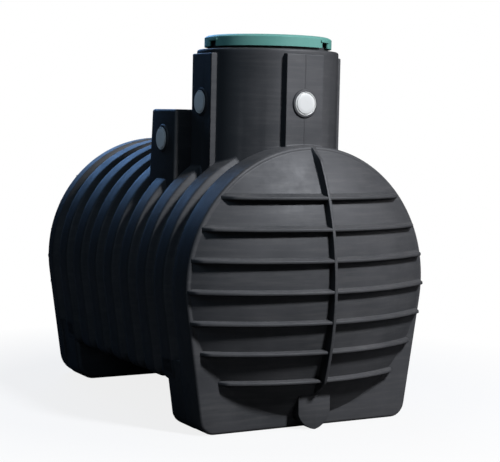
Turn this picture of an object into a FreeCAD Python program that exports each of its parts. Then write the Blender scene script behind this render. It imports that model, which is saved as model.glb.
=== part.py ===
import FreeCAD, Part
import math
import os

# Underground water tank, moulded in black polyethylene: a hooped barrel lying on
# two moulded feet, a dished and ribbed end at the front and the rear, a round
# access neck with a green lid, and a low box turret behind the neck.
# Units are millimetres. +Z is up, the front end faces -Y, the origin is the
# middle of the underside.

# Barrel section: a round arch over sides that taper in to the feet.
ARCH_RADIUS = 675.0
SIDE_TAPER_DEG = 8.4
WALL = 10.0

# Bands along the barrel.
FRONT_RIM_LENGTH = 155.0
FRONT_RIM_CORNER = 78.0
FRONT_RIM_EDGE = 16.0
REAR_RIM_LENGTH = 100.0
REAR_RIM_CORNER = 130.0
REAR_RIM_EDGE = 30.0
HOOP_COUNT = 7
HOOP_WIDTH = 118.0
GROOVE_WIDTH = 92.0
GROOVE_DEPTH = 38.0
GROOVE_DRAFT = 14.0
BELLY_Z = 210.0
BELLY_CORNER = 64.0

# Feet, moulded under the two ends and measured from each end's face.
FRONT_FOOT_LENGTH = 410.0
FRONT_FOOT_CORNER = 60.0
FRONT_FOOT_EDGE = 110.0
REAR_FOOT_LENGTH = 283.0
REAR_FOOT_CORNER = 100.0
REAR_FOOT_EDGE = 24.0
FOOT_INSET = 8.0
FOOT_LEAST_CORNER = 12.0
FOOT_TOP_Z = 330.0
FOOT_ROUND_STEPS = 8

# Dished ends and their ribs.
DISH_RIM = 20.0
DISH_LOW_Z = 50.0
DISH_DEPTH = 205.0
RIB_DEPTH = 34.0
RIB_COUNT = 7
RIB_TOP_GAP = 226.0
RIB_LOW_GAP = 199.0
RIB_ROOT = 30.0
RIB_TIP = 14.0
RIB_OVERRUN = 13.0
RIB_END_DROP = 12.0
RIB_END_RUN = 25.0
RIB_SINK = 12.0
RIB_SWEEP_MARGIN_DEG = 2.0
SPINE_ROOT = 46.0
SPINE_TIP = 16.0
SPINE_DEPTH = 100.0
SPINE_PROUD = 3.0
SPINE_FLATTER = 110.0
SPINE_DROP = 20.0
SPINE_SWEEP_DEG = 36.0
SPINE_LOW_RISE = 120.0
SPINE_LOW_RUN = 70.0
LUG_HALF_WIDTH = 91.0
LUG_FRONT = 78.0
LUG_RIDGE = 5.0
LUG_TOP_RISE = 140.0
LUG_SHOULDER_Z = 80.0
LUG_BULGE = 18.0

# Access neck, four pads round it and the pipe connections in them.
NECK_CENTRE = 468.0
NECK_RADIUS = 362.0
NECK_HEIGHT = 471.0
NECK_EDGE_RADIUS = 12.0
PAD_HALF_WIDTH = 105.0
PAD_PROUD = 16.0
PAD_TOP_DROP = 24.0
PAD_EDGE_RADIUS = 7.0
CONNECTION_RISE = 205.0
CONNECTION_BORE = 55.0
CAP_LIP = 3.0
CAP_PROUD = 13.0
CAP_BEVEL = 5.0
CAP_PLUG_DEPTH = 26.0
CAP_PLATE = 6.0
CAP_CLEARANCE = 0.5
BOSS_MARGIN = 10.0
BOSS_HEIGHT = 8.0
NECK_SHOULDER = 57.0
COLLAR_WALL = 9.0
COLLAR_HEIGHT = 53.0
SEAL_HEIGHT = 6.0
SEAL_WIDTH = 13.0

# Box turret behind the neck.
BOX_BEYOND_PAD = 84.0
BOX_GAP_BEHIND_PAD = 12.0
BOX_BEHIND_NECK = 36.0
BOX_RISE = 166.0
BOX_DRAFT_DEG = 1.3
BOX_WALL = 8.0
BOX_CONNECTION_DROP = 150.0
BOX_EDGE_RADIUS = 12.0

# Lid.
LID_WALL = 6.0
LID_SIDE_GAP = 14.0
LID_LIFT = 14.0
LID_PLATE = 11.5
LID_CHAMFER_OUT = 15.0
LID_CHAMFER_DOWN = 10.0
LID_SEAT_GAP = 0.5
LID_LOCKS = 3
LID_NOTCH_FIRST_DEG = 32.0
LID_NOTCH_WIDTH = 56.0
LID_NOTCH_HEIGHT = 26.0
LID_BOSS_WIDTH = 84.0
LID_BOSS_HEIGHT = 14.0
LID_BOSS_PROUD = 5.0

# Lengthwise cuts that part the barrel into strips. The first lies inside the
# neck's opening, the second this far on from the box towards the widest point.
ROOF_SPLIT_INSET = 56.0
SHOULDER_SPLIT_SHARE = 0.36

BARREL_LENGTH = HOOP_COUNT * HOOP_WIDTH + (HOOP_COUNT + 1) * GROOVE_WIDTH
HULL_LENGTH = FRONT_RIM_LENGTH + BARREL_LENGTH + REAR_RIM_LENGTH
FRONT_Y = -HULL_LENGTH / 2
REAR_Y = HULL_LENGTH / 2
BARREL_START = FRONT_Y + FRONT_RIM_LENGTH
DISH_RADIUS = ARCH_RADIUS - DISH_RIM
ARCH_CENTRE_Z = DISH_LOW_Z + DISH_RADIUS
CROWN_Z = ARCH_CENTRE_Z + ARCH_RADIUS
SIDE_TAPER = math.radians(SIDE_TAPER_DEG)
RIB_END_RADIUS = DISH_RADIUS + RIB_OVERRUN
RIB_TOP_RISE = DISH_RADIUS - RIB_TOP_GAP
RIB_PITCH = (2 * DISH_RADIUS - RIB_TOP_GAP - RIB_LOW_GAP) / (RIB_COUNT - 1)
NECK_Y = FRONT_Y + NECK_CENTRE
NECK_TOP_Z = CROWN_Z + NECK_HEIGHT
PAD_FACE = NECK_RADIUS + PAD_PROUD
PAD_TOP_Z = NECK_TOP_Z - PAD_TOP_DROP
CONNECTION_Z = CROWN_Z + CONNECTION_RISE
CAP_RADIUS = CONNECTION_BORE + CAP_LIP
BOSS_RADIUS = CAP_RADIUS + BOSS_MARGIN
COLLAR_RADIUS = NECK_RADIUS - NECK_SHOULDER
ACCESS_RADIUS = COLLAR_RADIUS - COLLAR_WALL
COLLAR_TOP_Z = NECK_TOP_Z + COLLAR_HEIGHT
BOX_HALF_WIDTH = PAD_FACE + BOX_BEYOND_PAD
BOX_FRONT_Y = NECK_Y + PAD_HALF_WIDTH + BOX_GAP_BEHIND_PAD
BOX_REAR_Y = NECK_Y + NECK_RADIUS + BOX_BEHIND_NECK
BOX_MIDDLE_Y = (BOX_FRONT_Y + BOX_REAR_Y) / 2
BOX_TOP_Z = CROWN_Z + BOX_RISE
BOX_SLOPE = math.tan(math.radians(BOX_DRAFT_DEG))
BOX_CONNECTION_Z = BOX_TOP_Z - BOX_CONNECTION_DROP
BOX_CONNECTION_FACE = BOX_HALF_WIDTH + BOX_CONNECTION_DROP * BOX_SLOPE
ROOF_SPLIT_DEG = math.degrees(math.asin((NECK_RADIUS - ROOF_SPLIT_INSET) / ARCH_RADIUS))
BOX_EDGE_DEG = math.degrees(math.asin(BOX_HALF_WIDTH / ARCH_RADIUS))
SHOULDER_SPLIT_DEG = BOX_EDGE_DEG + SHOULDER_SPLIT_SHARE * (90 - BOX_EDGE_DEG)
LID_RADIUS = COLLAR_RADIUS + LID_SIDE_GAP + LID_WALL
LID_BOTTOM_Z = NECK_TOP_Z + LID_LIFT
LID_SEAT_Z = COLLAR_TOP_Z + SEAL_HEIGHT + LID_SEAT_GAP
LID_TOP_Z = LID_SEAT_Z + LID_PLATE
FAR = 2 * HULL_LENGTH
V = FreeCAD.Vector
ORIGIN = V(0, 0, 0)
NECK_AXIS = V(0, NECK_Y, 0)
AXIS_X = V(1, 0, 0)
AXIS_Y = V(0, 1, 0)
AXIS_Z = V(0, 0, 1)


def side_x(radius, z):
    # Half width of the tapered side that touches an arch of this radius.
    drop = ARCH_CENTRE_Z - z
    return (radius - drop * math.sin(SIDE_TAPER)) / math.cos(SIDE_TAPER)


def section(y, inset, floor, bend):
    # Closed outline across the barrel at one y: arch, tapered sides, flat floor.
    radius = ARCH_RADIUS - inset
    cos_t = math.cos(SIDE_TAPER)
    sin_t = math.sin(SIDE_TAPER)
    arch = (radius * cos_t, ARCH_CENTRE_Z - radius * sin_t)
    centre_x = side_x(radius, floor + bend) - bend / cos_t
    side = (centre_x + bend * cos_t, floor + bend - bend * sin_t)
    half_turn = (math.pi / 2 + SIDE_TAPER) / 2
    knee = (centre_x + bend * math.sin(half_turn), floor + bend - bend * math.cos(half_turn))
    base = (centre_x, floor)

    def at(point, sign=1):
        return V(sign * point[0], y, point[1])

    top = V(0, y, ARCH_CENTRE_Z + radius)
    edges = [
        Part.makeLine(at(base, -1), at(base)),
        Part.Arc(at(base), at(knee), at(side)).toShape(),
        Part.makeLine(at(side), at(arch)),
        Part.Arc(at(arch), top, at(arch, -1)).toShape(),
        Part.makeLine(at(arch, -1), at(side, -1)),
        Part.Arc(at(side, -1), at(knee, -1), at(base, -1)).toShape(),
    ]
    return Part.Wire(edges)


def prism(wire, length):
    return Part.Face(wire).extrude(V(0, length, 0))


def polygon_face(points):
    return Part.Face(Part.makePolygon(points + [points[0]]))


def revolved(points, axis_point, axis):
    return polygon_face(points).revolve(axis_point, axis, 360)


def turned(shape, degrees, centre=ORIGIN):
    copy = shape.copy()
    copy.rotate(centre, AXIS_Z, degrees)
    return copy


def box_between(x0, x1, y0, y1, z0, z1):
    return Part.makeBox(x1 - x0, y1 - y0, z1 - z0, V(x0, y0, z0))


def slab(z0, z1):
    return box_between(-FAR, FAR, -FAR, FAR, z0, z1)


def cylinder_z(radius, low, high):
    return Part.makeCylinder(radius, high - low, V(0, NECK_Y, low), AXIS_Z)


def cylinder_y(radius, start, end, z=ARCH_CENTRE_Z):
    return Part.makeCylinder(radius, end - start, V(0, start, z), AXIS_Y)


# Barrel.
def barrel_stations(wall):
    # (y, inset) of each change along the barrel. The inner skin keeps the wall's
    # thickness on the sloping groove sides by moving each corner along y.
    slope = math.atan2(GROOVE_DEPTH, GROOVE_DRAFT)
    shift = wall * math.tan(slope / 2)
    end_inset = wall + GROOVE_DEPTH * shift / GROOVE_DRAFT
    stations = []
    y = BARREL_START
    for index in range(HOOP_COUNT + 1):
        stations.append((y, end_inset) if index == 0 else (y - shift, wall))
        stations.append((y + GROOVE_DRAFT - shift, wall + GROOVE_DEPTH))
        y += GROOVE_WIDTH
        stations.append((y - GROOVE_DRAFT + shift, wall + GROOVE_DEPTH))
        stations.append((y + shift, wall) if index < HOOP_COUNT else (y, end_inset))
        y += HOOP_WIDTH
    return stations


def barrel_section(y, inset):
    return section(y, inset, BELLY_Z + inset, BELLY_CORNER - inset)


def barrel_solid(wall=0.0):
    return Part.makeLoft([barrel_section(y, inset) for y, inset in barrel_stations(wall)], True, True)


def foot_section(y, corner, inset):
    bend = max(corner - inset, FOOT_LEAST_CORNER)
    return section(y, FOOT_INSET + inset, inset, bend)


def foot_block(start, end, corner, edge, wall=0.0):
    # Foot with a rounded far end: its outline shrinks along a quarter circle. It
    # ends in a level shelf where the grooves come down to it.
    wires = [foot_section(start, corner, wall)]
    radius = edge - wall
    for index in range(FOOT_ROUND_STEPS + 1):
        angle = math.pi / 2 * index / FOOT_ROUND_STEPS
        y = end - wall - radius + radius * math.sin(angle)
        wires.append(foot_section(y, corner, wall + radius * (1 - math.cos(angle))))
    return Part.makeLoft(wires, True, True).common(slab(-FAR, FOOT_TOP_Z - wall))


def front_foot_block(wall=0.0):
    start = BARREL_START - wall
    return foot_block(start, FRONT_Y + FRONT_FOOT_LENGTH, FRONT_FOOT_CORNER, FRONT_FOOT_EDGE, wall)


def rear_foot_block(wall=0.0):
    start = FRONT_Y + REAR_RIM_LENGTH - wall
    return turned(foot_block(start, FRONT_Y + REAR_FOOT_LENGTH, REAR_FOOT_CORNER, REAR_FOOT_EDGE, wall), 180)


def rim(length, corner, edge, foot_corner):
    # Flange band at one end: a flat frame round the dish, with the barrel's
    # outline, open behind into the barrel and the foot.
    block = prism(section(FRONT_Y, 0.0, 0.0, corner), length)
    front_edges = [e for e in block.Edges if abs(e.BoundBox.YMax - FRONT_Y) < WALL / 10]
    block = block.makeFillet(edge, front_edges)
    hollow = prism(section(FRONT_Y + WALL, WALL, WALL, corner - WALL), length - 2 * WALL)
    throat = prism(barrel_section(FRONT_Y + WALL, barrel_stations(WALL)[0][1]), length)
    foot_way = prism(foot_section(FRONT_Y + 2 * WALL, foot_corner, WALL), length)
    hole = cylinder_y(DISH_RADIUS, FRONT_Y - WALL, FRONT_Y + 2 * WALL)
    return block.cut(hollow).cut(throat).cut(foot_way).cut(hole)


# Dished end. The dish is part of a sphere, its ribs reach a larger sphere about
# the same centre, and the centre lies on the barrel's axis.
DISH_SPHERE = (DISH_RADIUS ** 2 + DISH_DEPTH ** 2) / (2 * DISH_DEPTH)
DISH_CENTRE_Y = FRONT_Y - DISH_DEPTH + DISH_SPHERE
RIB_SPHERE = DISH_SPHERE + RIB_DEPTH


def dish_ball(radius):
    return Part.makeSphere(radius, V(0, DISH_CENTRE_Y, ARCH_CENTRE_Z))


def dish_solid():
    return dish_ball(DISH_SPHERE).common(cylinder_y(DISH_RADIUS, FRONT_Y - 2 * DISH_DEPTH, FRONT_Y + WALL))


def rib_reach():
    # Space that the ribs may fill: a cone, a little lower than the dish, where
    # each rib runs back to the rim.
    turn = RIB_END_RADIUS - RIB_END_RUN
    run_depth = math.sqrt(RIB_SPHERE ** 2 - turn ** 2) - (DISH_CENTRE_Y - FRONT_Y)
    length = DISH_DEPTH + 2 * RIB_DEPTH
    far_radius = RIB_END_RADIUS - RIB_END_RUN * length / run_depth
    base = V(0, FRONT_Y, ARCH_CENTRE_Z - RIB_END_DROP)
    return Part.makeCone(RIB_END_RADIUS, far_radius, length, base, V(0, -1, 0))


def cross_rib(rise):
    # One level rib: a tapered section turned about the vertical line through the
    # dish's centre, so that it follows the dish.
    z = ARCH_CENTRE_Z + rise
    tip = math.sqrt(RIB_SPHERE ** 2 - rise ** 2)
    root = math.sqrt(DISH_SPHERE ** 2 - (abs(rise) + RIB_ROOT) ** 2) - RIB_SINK
    face = polygon_face([
        V(0, DISH_CENTRE_Y - tip, z - RIB_TIP / 2),
        V(0, DISH_CENTRE_Y - tip, z + RIB_TIP / 2),
        V(0, DISH_CENTRE_Y - root, z + RIB_ROOT / 2),
        V(0, DISH_CENTRE_Y - root, z - RIB_ROOT / 2),
    ])
    sweep = math.degrees(math.asin(RIB_END_RADIUS / root)) + RIB_SWEEP_MARGIN_DEG
    centre = V(0, DISH_CENTRE_Y, 0)
    face.rotate(centre, AXIS_Z, -sweep)
    return face.revolve(centre, AXIS_Z, 2 * sweep)


def spine():
    # Upright rib on the centre line. Its front follows its own flatter arc, which
    # stands further out towards the bottom than the level ribs do.
    tip = RIB_SPHERE + SPINE_FLATTER
    root = tip - SPINE_DEPTH
    front = FRONT_Y - DISH_DEPTH - RIB_DEPTH - SPINE_PROUD
    centre = V(0, front + tip, ARCH_CENTRE_Z - SPINE_DROP)
    face = polygon_face([
        centre + V(-SPINE_TIP / 2, -tip, 0),
        centre + V(SPINE_TIP / 2, -tip, 0),
        centre + V(SPINE_ROOT / 2, -root, 0),
        centre + V(-SPINE_ROOT / 2, -root, 0),
    ])
    face.rotate(centre, AXIS_X, -SPINE_SWEEP_DEG)
    bar = face.revolve(centre, AXIS_X, 2 * SPINE_SWEEP_DEG)
    return bar.common(spine_envelope(front))


def spine_envelope(front):
    # Side view of the space that the upright rib may fill, drawn well past it.
    top_z = ARCH_CENTRE_Z + RIB_END_RADIUS
    low_z = DISH_LOW_Z + SPINE_LOW_RISE
    past = 2 * (FRONT_Y - front)
    return polygon_face([
        V(-FAR / 2, FRONT_Y, top_z),
        V(-FAR / 2, FRONT_Y - past, top_z - past * RIB_END_RUN / RIB_DEPTH),
        V(-FAR / 2, FRONT_Y - past, low_z + 2 * SPINE_LOW_RUN),
        V(-FAR / 2, FRONT_Y - LUG_FRONT + LUG_RIDGE, low_z),
        V(-FAR / 2, FRONT_Y, low_z),
    ]).extrude(V(FAR, 0, 0))


def end_ribs(dish):
    ribs = [cross_rib(RIB_TOP_RISE - RIB_PITCH * index) for index in range(RIB_COUNT)]
    grid = ribs[0].multiFuse(ribs[1:]).common(rib_reach())
    return grid.fuse(spine()).cut(dish).removeSplitter()


def lug():
    # Keel under the dish: a shield outline with a slight ridge down its middle.
    half = LUG_HALF_WIDTH
    top_z = DISH_LOW_Z + LUG_TOP_RISE
    y_front = FRONT_Y - LUG_FRONT
    wedge = polygon_face([
        V(-half, FRONT_Y, 0),
        V(-half, y_front + LUG_RIDGE, 0),
        V(0, y_front, 0),
        V(half, y_front + LUG_RIDGE, 0),
        V(half, FRONT_Y, 0),
    ]).extrude(V(0, 0, top_z))
    chord = math.hypot(half, LUG_SHOULDER_Z)
    bulge_x = half / 2 + LUG_BULGE * LUG_SHOULDER_Z / chord
    bulge_z = LUG_SHOULDER_Z / 2 - LUG_BULGE * half / chord

    def at(x, z):
        return V(x, y_front - LUG_RIDGE, z)

    outline = [
        Part.makeLine(at(-half, top_z), at(half, top_z)),
        Part.makeLine(at(half, top_z), at(half, LUG_SHOULDER_Z)),
        Part.Arc(at(half, LUG_SHOULDER_Z), at(bulge_x, bulge_z), at(0, 0)).toShape(),
        Part.Arc(at(0, 0), at(-bulge_x, bulge_z), at(-half, LUG_SHOULDER_Z)).toShape(),
        Part.makeLine(at(-half, LUG_SHOULDER_Z), at(-half, top_z)),
    ]
    return wedge.common(prism(Part.Wire(outline), LUG_FRONT + 2 * LUG_RIDGE))


# Access neck and its fittings.
def neck_pad(with_boss):
    # Flat pad on the neck's front, from the barrel up, with a boss for its pipe.
    plate = box_between(-PAD_HALF_WIDTH, PAD_HALF_WIDTH, NECK_Y - PAD_FACE, NECK_Y, ARCH_CENTRE_Z, PAD_TOP_Z)
    outer = NECK_Y - PAD_FACE
    edges = [e for e in plate.Edges if e.BoundBox.YMax < outer + 1 and e.BoundBox.ZMax > PAD_TOP_Z - 1]
    plate = plate.makeFillet(PAD_EDGE_RADIUS, edges)
    if not with_boss:
        return plate
    return plate.fuse(cylinder_y(BOSS_RADIUS, outer - BOSS_HEIGHT, NECK_Y, CONNECTION_Z))


def neck_solid():
    # Round neck with a pad on each quarter. The rear one stands over the box and
    # has no pipe connection.
    body = cylinder_z(NECK_RADIUS, ARCH_CENTRE_Z, NECK_TOP_Z)
    top_edge = [e for e in body.Edges if e.BoundBox.ZMin > NECK_TOP_Z - 1]
    body = body.makeFillet(NECK_EDGE_RADIUS, top_edge)
    pads = [turned(neck_pad(quarter != 2), 90 * quarter, NECK_AXIS) for quarter in range(4)]
    return body.multiFuse(pads)


def neck_bore():
    body = cylinder_z(NECK_RADIUS - WALL, BELLY_Z + ARCH_CENTRE_Z / 2, NECK_TOP_Z - WALL)
    bore = cylinder_y(CONNECTION_BORE, NECK_Y - 2 * PAD_FACE, NECK_Y, CONNECTION_Z)
    return body.multiFuse([turned(bore, 90 * quarter, NECK_AXIS) for quarter in (0, 1, 3)])


def neck_quarter(shell, degrees):
    points = [NECK_AXIS, V(-FAR, NECK_Y - FAR, 0), V(FAR, NECK_Y - FAR, 0)]
    wedge = polygon_face(points).extrude(V(0, 0, NECK_TOP_Z - WALL))
    return shell.common(turned(wedge, degrees, NECK_AXIS))


def neck_collar(shell):
    # Rolled top of the neck with the upstand that carries the lid.
    deck = shell.common(slab(NECK_TOP_Z - WALL, NECK_TOP_Z))
    upstand = cylinder_z(COLLAR_RADIUS, NECK_TOP_Z - WALL, COLLAR_TOP_Z)
    way = cylinder_z(ACCESS_RADIUS, NECK_TOP_Z - 2 * WALL, COLLAR_TOP_Z + WALL)
    return deck.fuse(upstand).cut(way).removeSplitter()


def lid_seal():
    outer = cylinder_z(COLLAR_RADIUS, COLLAR_TOP_Z, COLLAR_TOP_Z + SEAL_HEIGHT)
    middle = COLLAR_RADIUS - COLLAR_WALL / 2
    return outer.cut(cylinder_z(middle - SEAL_WIDTH / 4, COLLAR_TOP_Z - WALL, COLLAR_TOP_Z + WALL))


def blanking_cap(face):
    # Cap over one pipe connection: a bevelled disc with a plug in the bore. It is
    # made about the Y axis through the origin, with the pad's face at y = -face.
    front = -face - CAP_PROUD
    seat = -face - BOSS_HEIGHT
    plug = CONNECTION_BORE - CAP_CLEARANCE
    return revolved([
        V(0, front, 0),
        V(CAP_RADIUS - CAP_BEVEL, front, 0),
        V(CAP_RADIUS, front + CAP_BEVEL, 0),
        V(CAP_RADIUS, seat, 0),
        V(plug, seat, 0),
        V(plug, seat + CAP_PLUG_DEPTH, 0),
        V(plug - CAP_PLATE, seat + CAP_PLUG_DEPTH, 0),
        V(plug - CAP_PLATE, front + CAP_PLATE, 0),
        V(0, front + CAP_PLATE, 0),
    ], ORIGIN, AXIS_Y)


def placed_cap(face, quarter, y, z):
    piece = turned(blanking_cap(face), 90 * quarter)
    piece.translate(V(0, y, z))
    return piece


# Box turret.
def box_solid(inset=0.0):
    # Tapered block, drawn in by the wall where it is the box's inside.
    def rectangle(z):
        grow = (BOX_TOP_Z - z) * BOX_SLOPE - inset
        x = BOX_HALF_WIDTH + grow
        corners = [(-x, BOX_FRONT_Y - grow), (x, BOX_FRONT_Y - grow), (x, BOX_REAR_Y + grow), (-x, BOX_REAR_Y + grow)]
        points = [V(x, y, z) for x, y in corners]
        return Part.makePolygon(points + [points[0]])

    return Part.makeLoft([rectangle(ARCH_CENTRE_Z), rectangle(BOX_TOP_Z - inset)], True, True)


def box_outer():
    block = box_solid()
    upright = [e for e in block.Edges if e.BoundBox.ZLength > BOX_RISE]
    top = [e for e in block.Edges if e.BoundBox.ZMin > BOX_TOP_Z - 1]
    block = block.makeFillet(BOX_EDGE_RADIUS, upright + top)
    face = BOX_CONNECTION_FACE + BOSS_HEIGHT
    start = V(-face, BOX_MIDDLE_Y, BOX_CONNECTION_Z)
    return block.fuse(Part.makeCylinder(BOSS_RADIUS, 2 * face, start, AXIS_X))


def box_bore():
    start = V(-FAR, BOX_MIDDLE_Y, BOX_CONNECTION_Z)
    return Part.makeCylinder(CONNECTION_BORE, 2 * FAR, start, AXIS_X)


# Lid.
def lid_turns():
    return [LID_NOTCH_FIRST_DEG + 360 / LID_LOCKS * index for index in range(LID_LOCKS)]


def lid_top():
    # Flat plate with a bevelled edge, seated on the seal.
    return revolved([
        V(0, NECK_Y, LID_TOP_Z),
        V(LID_RADIUS - LID_CHAMFER_OUT, NECK_Y, LID_TOP_Z),
        V(LID_RADIUS, NECK_Y, LID_TOP_Z - LID_CHAMFER_DOWN),
        V(LID_RADIUS, NECK_Y, LID_SEAT_Z),
        V(0, NECK_Y, LID_SEAT_Z),
    ], NECK_AXIS, AXIS_Z)


def lid_skirt():
    # Edge of the lid, with a notch for each lock under a raised boss.
    ring = cylinder_z(LID_RADIUS, LID_BOTTOM_Z, LID_SEAT_Z)
    low = LID_BOTTOM_Z + LID_NOTCH_HEIGHT
    outer = NECK_Y - LID_RADIUS
    half = LID_BOSS_WIDTH / 2
    boss = box_between(-half, half, outer - LID_BOSS_PROUD, outer + LID_WALL, low, low + LID_BOSS_HEIGHT)
    half = LID_NOTCH_WIDTH / 2
    notch = box_between(-half, half, outer - LID_RADIUS, outer + 2 * LID_WALL, LID_BOTTOM_Z - WALL, low)
    ring = ring.multiFuse([turned(boss, turn, NECK_AXIS) for turn in lid_turns()])
    ring = ring.cut(cylinder_z(LID_RADIUS - LID_WALL, LID_BOTTOM_Z - WALL, LID_SEAT_Z))
    for turn in lid_turns():
        ring = ring.cut(turned(notch, turn, NECK_AXIS))
    return ring.removeSplitter()


def save(name, shape):
    solids = shape.Solids
    body = solids[0] if len(solids) == 1 else Part.makeCompound(solids)
    body.exportStep("parts/" + name + ".step")
    print(name, len(solids), "solids", round(shape.Volume / 1e6, 2), "litres", shape.isValid())


def save_barrel(shell):
    # The moulded shell in pieces: a foot under each end, then lengthwise strips
    # each way from the crown, and the belly between the feet.
    front_foot = box_between(-FAR, FAR, -FAR, FRONT_Y + FRONT_FOOT_LENGTH, -FAR, FOOT_TOP_Z)
    rear_foot = box_between(-FAR, FAR, REAR_Y - REAR_FOOT_LENGTH, FAR, -FAR, FOOT_TOP_Z)
    save("front_foot", shell.common(front_foot))
    save("rear_foot", shell.common(rear_foot))
    shell = shell.cut(front_foot).cut(rear_foot)
    low_z = BELLY_Z + BELLY_CORNER
    save("belly", shell.common(slab(-FAR, low_z)))

    def ray(degrees):
        angle = math.radians(degrees)
        return V(FAR * math.sin(angle), -FAR, ARCH_CENTRE_Z + FAR * math.cos(angle))

    centre = V(0, -FAR, ARCH_CENTRE_Z)
    strips = {
        "roof": [centre, ray(0), ray(ROOF_SPLIT_DEG)],
        "shoulder": [centre, ray(ROOF_SPLIT_DEG), ray(SHOULDER_SPLIT_DEG)],
        "flank": [centre, ray(SHOULDER_SPLIT_DEG), ray(90)],
        "side": [centre, ray(90), V(FAR, -FAR, low_z), V(0, -FAR, low_z)],
    }
    for name, corners in strips.items():
        keep = polygon_face(corners).extrude(V(0, 2 * FAR, 0))
        save("barrel_right_" + name, shell.common(keep))
        save("barrel_left_" + name, shell.common(keep.mirror(centre, AXIS_X)))


def save_ends():
    dish = dish_solid()
    ribs = end_ribs(dish)
    keel = lug().cut(dish).cut(ribs)
    shell = dish.cut(dish_ball(DISH_SPHERE - WALL))
    for end, degrees in (("front", 0), ("rear", 180)):
        save(end + "_dish", turned(shell, degrees))
        save(end + "_ribs", turned(ribs, degrees))
        save(end + "_lug", turned(keel, degrees))


def save_neck(neck, barrel, rim_block, box_inner):
    shell = neck.cut(neck_bore()).cut(barrel).cut(rim_block).cut(box_inner)
    for quarter, side in enumerate(("front", "right", "rear", "left")):
        save("neck_" + side, neck_quarter(shell, 90 * quarter))
        if side != "rear":
            save(side + "_blanking_cap", placed_cap(PAD_FACE, quarter, NECK_Y, CONNECTION_Z))
    save("neck_collar", neck_collar(shell))
    save("lid_seal", lid_seal())


def save_box(neck, barrel, box_inner):
    shell = box_outer().cut(box_inner).cut(box_bore()).cut(barrel).cut(neck)
    roof_z = BOX_TOP_Z - BOX_WALL
    end_x = BOX_HALF_WIDTH - BOX_WALL
    save("box_roof", shell.common(slab(roof_z, BOX_TOP_Z)))
    walls = shell.common(slab(0, roof_z))
    save("box_left_wall", walls.common(box_between(-FAR, -end_x, -FAR, FAR, 0, FAR)))
    save("box_right_wall", walls.common(box_between(end_x, FAR, -FAR, FAR, 0, FAR)))
    save("box_front_wall", walls.common(box_between(-end_x, end_x, -FAR, BOX_MIDDLE_Y, 0, FAR)))
    save("box_rear_wall", walls.common(box_between(-end_x, end_x, BOX_MIDDLE_Y, FAR, 0, FAR)))
    for quarter, side in ((1, "right"), (3, "left")):
        save("box_" + side + "_cap", placed_cap(BOX_CONNECTION_FACE, quarter, BOX_MIDDLE_Y, BOX_CONNECTION_Z))


def main():
    os.makedirs("parts", exist_ok=True)
    barrel = barrel_solid()
    box_inner = box_solid(BOX_WALL)
    neck = neck_solid()
    front_rim = rim(FRONT_RIM_LENGTH, FRONT_RIM_CORNER, FRONT_RIM_EDGE, FRONT_FOOT_CORNER)
    rear_rim = rim(REAR_RIM_LENGTH, REAR_RIM_CORNER, REAR_RIM_EDGE, REAR_FOOT_CORNER)
    save("front_rim", front_rim.cut(neck_bore()))
    save("rear_rim", turned(rear_rim, 180))
    save_ends()

    outer = barrel.multiFuse([front_foot_block(), rear_foot_block()])
    inner = barrel_solid(WALL).multiFuse([front_foot_block(WALL), rear_foot_block(WALL)])
    save_barrel(outer.cut(inner).cut(neck_bore()).cut(box_inner))

    rim_block = prism(section(FRONT_Y, 0.0, 0.0, FRONT_RIM_CORNER), FRONT_RIM_LENGTH)
    save_neck(neck, barrel, rim_block, box_inner)
    save_box(neck, barrel, box_inner)
    save("lid_top", lid_top())
    save("lid_skirt", lid_skirt())


main()
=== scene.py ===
# %% [markdown]
# # An underground water tank
# This lesson dresses a measured tank of moulded polyethylene. Its solids were
# packed beforehand and load as a fixed frame, so every new piece can be placed by
# numbers: metres, +Z up, the ribbed front end facing -Y.
# The tank is one hollow moulding, so its beauty is in soft edges, long highlights
# and the way its hoops and ribs repeat.

# %% Load the frame
import math

import bmesh
import bpy
from mathutils import Matrix, Vector


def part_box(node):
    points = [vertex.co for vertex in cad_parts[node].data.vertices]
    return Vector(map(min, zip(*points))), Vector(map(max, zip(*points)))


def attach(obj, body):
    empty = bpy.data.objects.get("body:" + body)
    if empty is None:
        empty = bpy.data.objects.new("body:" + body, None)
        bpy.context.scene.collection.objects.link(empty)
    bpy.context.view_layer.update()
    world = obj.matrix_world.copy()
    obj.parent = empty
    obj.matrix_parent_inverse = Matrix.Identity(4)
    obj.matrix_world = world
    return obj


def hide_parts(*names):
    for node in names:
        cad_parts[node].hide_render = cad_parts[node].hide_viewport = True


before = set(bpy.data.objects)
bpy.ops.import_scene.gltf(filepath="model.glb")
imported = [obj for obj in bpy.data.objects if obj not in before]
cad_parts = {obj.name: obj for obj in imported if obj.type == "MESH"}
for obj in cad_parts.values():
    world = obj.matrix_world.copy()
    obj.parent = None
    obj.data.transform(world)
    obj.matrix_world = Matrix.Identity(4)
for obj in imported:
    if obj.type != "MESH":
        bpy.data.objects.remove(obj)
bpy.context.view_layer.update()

scene = bpy.context.scene
scene.view_settings.view_transform = "Standard"

# %% [markdown]
# ## The sizes that shape the moulding
# A moulded tank follows a few plain rules: an arch over two tapered sides, a band
# at each end, and a groove after every hoop. The rules are written once here, and
# the places that the frame already knows are read from it.

# %% Sizes of the moulding
ARCH_RADIUS = 0.675
ARCH_Z = 0.705
TAPER = math.radians(8.4)
WALL = 0.010
HOOP_WIDTH = 0.118
GROOVE_WIDTH = 0.092
GROOVE_DEPTH = 0.038
GROOVE_DRAFT = 0.014
HOOP_COUNT = 7
EDGE_SOFTNESS = 0.007
BELLY_CORNER = 0.064
QUARTER_TURN = math.pi / 2
DISH_RADIUS = 0.655
DISH_DEPTH = 0.205
DISH_SPHERE = (DISH_RADIUS ** 2 + DISH_DEPTH ** 2) / (2 * DISH_DEPTH)

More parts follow.
